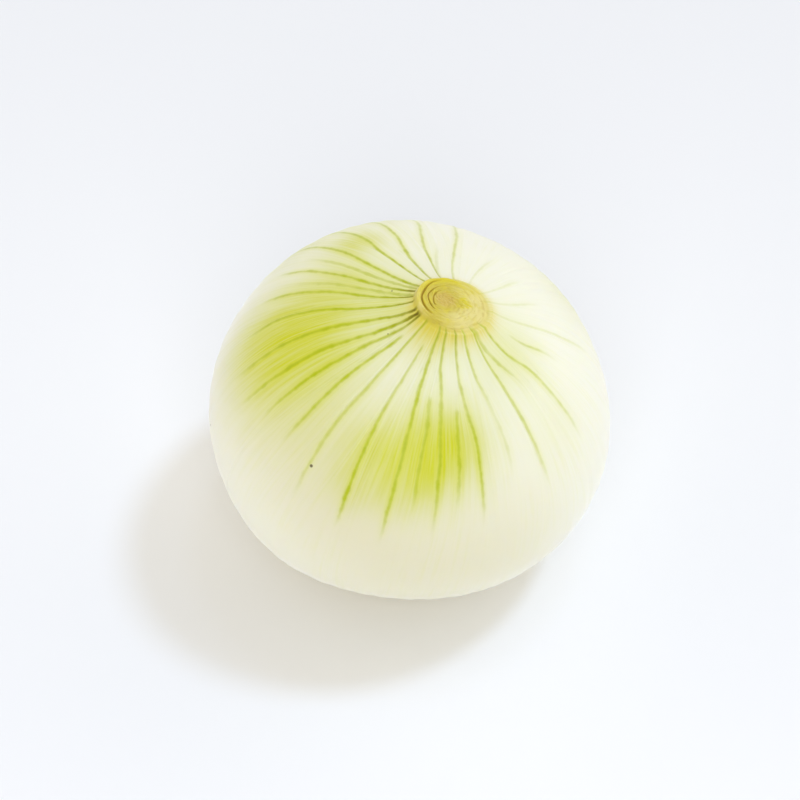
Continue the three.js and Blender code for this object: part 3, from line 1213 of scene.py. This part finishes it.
    def relief(self, points: np.ndarray, number: np.ndarray, levels: np.ndarray) -> np.ndarray:
        """Works out the ribs over the veins and the broad unevenness of the flesh.

        Args:
            points: The smooth surface, by ring and column.
            number: The vein number of each column.
            levels: Angles from the neck, one a ring.

        Returns:
            How far each point moves.
        """
        outward = points - np.array([0, 0, self.shape.middle_z])
        outward = outward / np.linalg.norm(outward, axis=-1, keepdims=True)
        draw = np.random.default_rng(self.seed)
        broad = np.zeros(points.shape[:2])
        for _ in range(self.swell_waves):
            way = draw.normal(size=3)
            broad += np.sin(outward @ way * draw.uniform(2, 3.5) + draw.uniform(0, 6))
        broad *= self.swell_height / np.sqrt(self.swell_waves)
        eases = np.radians(self.rib_eases)
        below = smooth((levels - np.radians(self.low_ribs_from)) / eases)
        height = self.rib_height + (self.low_rib_height - self.rib_height) * below
        share = smooth((levels - self.shape.neck_angle) / eases)
        share = share * smooth((self.shape.base_angle - levels) / np.radians(8))
        ribs = height[:, None] * np.cos(2 * np.pi * number)[None]
        return outward * ((ribs + broad) * share[:, None])[..., None]

    def lengths(self, points: np.ndarray) -> np.ndarray:
        """Distance of each ring from the neck's middle, in fives of millimetres, for the grain."""
        steps = np.linalg.norm(np.diff(points[:, 0], axis=0), axis=1)
        return np.append(np.cumsum(steps[::-1])[::-1], 0) / 5

    def seen_patches(self, points: np.ndarray, patches: tuple[Patch, ...]) -> np.ndarray:
        """Works out how deep each point lies in patches of the side that the photo shows."""
        pixels = np.array([patch.pixel for patch in patches], float)
        sizes = [(patch.reach, patch.strength) for patch in patches]
        return self.add_patches(points, self.view.locate(pixels, self.shape), sizes)

    def hidden_patches(self, points: np.ndarray) -> np.ndarray:
        """Works out how deep each point lies in a few green patches of the back."""
        draw = np.random.default_rng(self.seed)
        found, sizes = [], []
        for i in range(self.hidden_blushes):
            part = (i + draw.uniform(0.2, 0.8)) / self.hidden_blushes
            bearing = np.radians(self.hidden_from + self.hidden_over * part)
            found.append([np.radians(draw.uniform(62, 80)), bearing])
            sizes.append((draw.uniform(6, 9), draw.uniform(0.3, 0.7)))
        return self.add_patches(points, np.array(found), sizes)

    def add_patches(self, points: np.ndarray, found: np.ndarray,
                    sizes: list[tuple[float, float]]) -> np.ndarray:
        """Adds up soft round patches.

        Args:
            points: Places of the surface, by ring and column.
            found: Each patch's angle from the neck and bearing.
            sizes: Each patch's reach in millimetres and its strength.

        Returns:
            Shares, by ring and column.
        """
        share = np.zeros(points.shape[:2])
        for place, (reach, strength) in zip(self.shape.skin(found[:, 0], found[:, 1]), sizes):
            apart = np.linalg.norm(points - place, axis=-1) / reach
            share = 1 - (1 - share) * (1 - strength * np.exp(-0.5 * apart**2))
        return share

    def beyond_neck(self, levels: np.ndarray) -> np.ndarray:
        """Distance of each ring from the neck's foot, in millimetres."""
        distance = self.shape.plain_point(levels)[0][:, None]
        return np.clip(distance - self.shape.neck_radius, 0, None)

    def stain(self, levels: np.ndarray, around: np.ndarray) -> np.ndarray:
        """Works out how yellow the skirt of the neck dried: most and farthest towards one side."""
        beyond = self.beyond_neck(levels)
        towards = np.clip(np.cos(around - np.radians(self.stain_towards)), 0, 1)
        share = self.stain_share[0] + self.stain_share[1] * towards**3
        reach = self.stain_reach[0] + self.stain_reach[1] * towards**4
        return np.clip(share * np.exp(-beyond / reach), 0, 1)

    def wash(self, levels: np.ndarray, around: np.ndarray) -> np.ndarray:
        """Works out how far the colour of the cut sheaths runs on over the flesh: most in front."""
        beyond = self.beyond_neck(levels)
        towards = (1 + np.cos(around - np.radians(self.wash_towards))) / 2
        share = self.wash_share[0] + self.wash_share[1] * towards
        reach = self.wash_reach[0] + self.wash_reach[1] * towards
        return share * np.exp(-((beyond / reach) ** 1.5))


@dataclass
class RootPlate:
    """The trimmed root plate that the onion stands on, with its root stubs and finer fibres."""

    shape: BulbShape
    finish: DryRoot
    rows: int = 26
    columns: int = 144
    thickness: float = 2.6
    sunk_in: float = 1.2
    pit_depth: float = 0.25
    crack_depth: float = 1.6
    stubs: int = 38
    stub_radius: float = 0.38
    stub_reach: tuple[float, float] = (0.8, 2.6)
    fibres: int = 90
    fibre_radius: float = 0.13
    fibre_reach: tuple[float, float] = (0.8, 3.4)
    skew: float = 0.5
    seed: int = 7

    def build(self) -> list[bpy.types.Object]:
        """Builds and dresses the plate and its roots."""
        material = self.finish.material()
        plate = self.build_plate(material)
        roots = self.build_roots(material)
        log.info("%s and %s", plate.name, roots.name)
        return [plate, roots]

    def build_plate(self, material: bpy.types.Material) -> bpy.types.Object:
        """Builds the plate: flat where it was cut, with shallow pits and cracks, and a worn edge."""
        shape = self.shape
        around = np.linspace(0, 2 * np.pi, self.columns, endpoint=False)[None]
        face = np.linspace(0.4, shape.plate_radius - shape.plate_bevel, self.rows)[:, None]
        pits = np.sin(face * 4.1) * np.sin(around * 19 + face) - 0.55
        cracks = np.sin(around * 7 + np.sin(face * 2)) - 0.93
        hollow = np.clip(pits, 0, None) * self.pit_depth + np.clip(cracks, 0, None) * self.crack_depth
        inner = smooth((shape.plate_radius - self.sunk_in - face) / 0.8)
        edge = shape.plate_radius + 0.12 * waves(around, 2, 5, 12)
        rings = [ring(face, around, hollow * inner)]
        # The worn edge: how far out from the plate's side, and how high
        for out, up in ((0.0, shape.plate_bevel), (0.05, 0.9), (0.0, 1.5), (-0.9, self.thickness)):
            rings.append(ring(edge + out, around, up))
        points = np.vstack([each.reshape(-1, 3) for each in rings])
        points = np.vstack([points, [0, 0, 0], [0, 0, self.thickness]])
        return make_piece("root_plate", points, lathe_faces(self.rows + 4, self.columns), material)

    def build_roots(self, material: bpy.types.Material) -> bpy.types.Object:
        """Builds all the trimmed roots as one piece of many closed stubs."""
        draw = np.random.default_rng(self.seed)
        kinds = [(self.stub_radius, self.stub_reach, 8)] * self.stubs
        kinds += [(self.fibre_radius, self.fibre_reach, 6)] * self.fibres
        points, faces = [], []
        for i, (radius, reach, sides) in enumerate(kinds):
            many = self.stubs if i < self.stubs else self.fibres
            bearing = 2 * np.pi * (i + draw.uniform(-0.3, 0.3)) / many
            start = np.array([self.shape.plate_radius - self.sunk_in, 0, 0.5 + draw.uniform(0, 0.5)])
            end = np.array([self.shape.plate_radius + draw.uniform(*reach), 0, draw.uniform(0.4, 1.1)])
            skew = draw.uniform(-self.skew, self.skew)
            stub = self.stub(start, end, radius, sides, skew)
            ahead, aside = np.cos(bearing), np.sin(bearing)
            turn = np.array([[ahead, aside, 0], [-aside, ahead, 0], [0, 0, 1]])
            base = sum(len(each) for each in points)
            faces += [tuple(base + corner for corner in face) for face in lathe_faces(5, sides)]
            points.append(stub @ turn)
        return make_piece("root_stubs", np.vstack(points), faces, material)

    def stub(self, start: np.ndarray, end: np.ndarray, radius: float, sides: int,
             skew: float) -> np.ndarray:
        """Makes the points of one tapered, slightly bent root.

        Args:
            start: Middle of its thick end, inside the plate.
            end: Middle of its cut end.
            radius: At the thick end.
            sides: Points round it.
            skew: How far it turns aside, in radians.

        Returns:
            Five rings of points, then the two ends.
        """
        turn = np.linspace(0, 2 * np.pi, sides, endpoint=False)
        rings = []
        for share in np.linspace(0, 1, 5):
            middle = start + (end - start) * share
            middle = middle + np.array([0, np.tan(skew) * (end - start)[0] * share**1.6, 0])
            wide = radius * (1 - 0.35 * share)
            rings.append(middle + np.stack([0 * turn, wide * np.cos(turn), wide * np.sin(turn)], axis=1))
        return np.vstack([*rings, rings[0].mean(axis=0), rings[-1].mean(axis=0)])


@dataclass(frozen=True)
class Wall:
    """A bright wall or ceiling of the room: the way to its middle in degrees, its reach and its light."""

    bearing: float
    rise: float
    focus: float
    strength: float


@dataclass(frozen=True)
class Lamp:
    """A soft lamp high in the room: the way to it and its spread in degrees, and its power."""

    bearing: float
    rise: float
    spread: float
    power: float


def way_to(bearing: float, rise: float) -> Vector:
    """Direction from the onion, by degrees round from straight back to the right, and degrees up."""
    around, up = np.radians(bearing), np.radians(rise)
    return Vector((np.sin(around) * np.cos(up), np.cos(around) * np.cos(up), np.sin(up)))


@dataclass(frozen=True)
class Studio:
    """The pale floor, a white room, two soft lamps high on the right and a screen in front."""

    shape: BulbShape
    view: PhotoView
    paper: StudioPaper = StudioPaper()
    floor_size: float = 60.0
    room: str = "#FFF8EA"
    even_glow: float = 0.07
    skyline: float = 0.8
    skyline_focus: float = 8.0
    walls: tuple[Wall, ...] = (
        Wall(-75, 15, 3, 1.1),
        Wall(35, 15, 3, 0.93),
        Wall(75, 15, 3, 0.7),
        Wall(0, 90, 12, 0.98),
    )
    lamps: tuple[Lamp, ...] = (Lamp(69, 62, 10, 0.9), Lamp(38, 74, 10, 0.12))
    lamp_colour: str = "#C0D8FF"
    screen_colour: str = "#FBFCFF"
    screen_rise: float = 40.0
    light_distance: float = 1.2
    screen_size: float = 0.8
    screen_power: float = 6.6

    def build(self) -> None:
        """Builds the floor, the lights, the room and the camera."""
        self.build_floor()
        self.build_lights()
        self.build_room()
        bpy.context.scene.view_settings.view_transform = "Standard"
        self.view.make_camera(self.shape)

    def build_floor(self) -> None:
        """Lays the paper that the onion stands on."""
        half = self.floor_size / 2
        mesh = bpy.data.meshes.new("floor")
        corners = [(-half, -half, 0), (half, -half, 0), (half, half, 0), (-half, half, 0)]
        mesh.from_pydata(corners, [], [(0, 1, 2, 3)])
        mesh.materials.append(self.paper.material())
        floor = bpy.data.objects.new("floor", mesh)
        bpy.context.scene.collection.objects.link(floor)

    def build_lights(self) -> None:
        """Hangs the soft lamps and the bright screen in front."""
        for lamp in self.lamps:
            light = bpy.data.lights.new("lamp", "SUN")
            light.angle = np.radians(lamp.spread)
            light.energy = lamp.power
            light.color = linear(self.lamp_colour)[:3]
            self.hang(light, way_to(lamp.bearing, lamp.rise))
        screen = bpy.data.lights.new("screen", "AREA")
        screen.size = self.screen_size
        screen.energy = self.screen_power
        screen.color = linear(self.screen_colour)[:3]
        self.hang(screen, way_to(180, self.screen_rise))

    def hang(self, light: bpy.types.Light, way: Vector) -> None:
        """Puts a light in the room, aimed at the onion."""
        hung = bpy.data.objects.new(light.name, light)
        hung.location = way * self.light_distance
        hung.rotation_euler = way.to_track_quat("Z", "Y").to_euler()
        bpy.context.scene.collection.objects.link(hung)

    def build_room(self) -> None:
        """Makes the room's light: each wall glows most in its middle, and a pale band meets the floor."""
        world = bpy.data.worlds.new("room")
        world.use_nodes = True
        tree = world.node_tree
        looked = add_node(tree, "ShaderNodeTexCoord", out="Generated")
        glow = self.even_glow
        for wall in self.walls:
            pair = {"Vector": looked, "Vector_001": way_to(wall.bearing, wall.rise)}
            facing = add_node(tree, "ShaderNodeVectorMath", pair, out="Value", operation="DOT_PRODUCT")
            held = {"Value": facing, "Value_001": 0.0}
            ahead = add_node(tree, "ShaderNodeMath", held, operation="MAXIMUM")
            bent = {"Value": ahead, "Value_001": wall.focus}
            fading = add_node(tree, "ShaderNodeMath", bent, operation="POWER")
            added = {"Value": fading, "Value_001": wall.strength, "Value_002": glow}
            glow = add_node(tree, "ShaderNodeMath", added, operation="MULTIPLY_ADD")
        height = add_node(tree, "ShaderNodeSeparateXYZ", {"Vector": looked}, out="Z")
        steep = add_node(tree, "ShaderNodeMath", {"Value": height}, operation="ABSOLUTE")
        level = add_node(tree, "ShaderNodeMath", {"Value": 1.0, "Value_001": steep}, operation="SUBTRACT")
        narrowed = {"Value": level, "Value_001": self.skyline_focus}
        band = add_node(tree, "ShaderNodeMath", narrowed, operation="POWER")
        added = {"Value": band, "Value_001": self.skyline, "Value_002": glow}
        glow = add_node(tree, "ShaderNodeMath", added, operation="MULTIPLY_ADD")
        tint = {"Vector": linear(self.room)[:3], "Scale": glow}
        tinted = add_node(tree, "ShaderNodeVectorMath", tint, operation="SCALE")
        tree.links.new(tinted, tree.nodes["Background"].inputs["Color"])
        bpy.context.scene.world = world


def main() -> None:
    """Builds the onion's pieces in order, then the studio round them."""
    logging.basicConfig(level=logging.INFO, format="%(name)s: %(message)s")
    shape = BulbShape()
    view = PhotoView()
    pieces = [Bulb(shape, view, ScaleFlesh()).build(), *RootPlate(shape, DryRoot()).build()]
    for piece in pieces:
        log.info("%s has %d faces", piece.name, len(piece.data.polygons))
    Studio(shape, view).build()


if __name__ == "__main__":
    main()
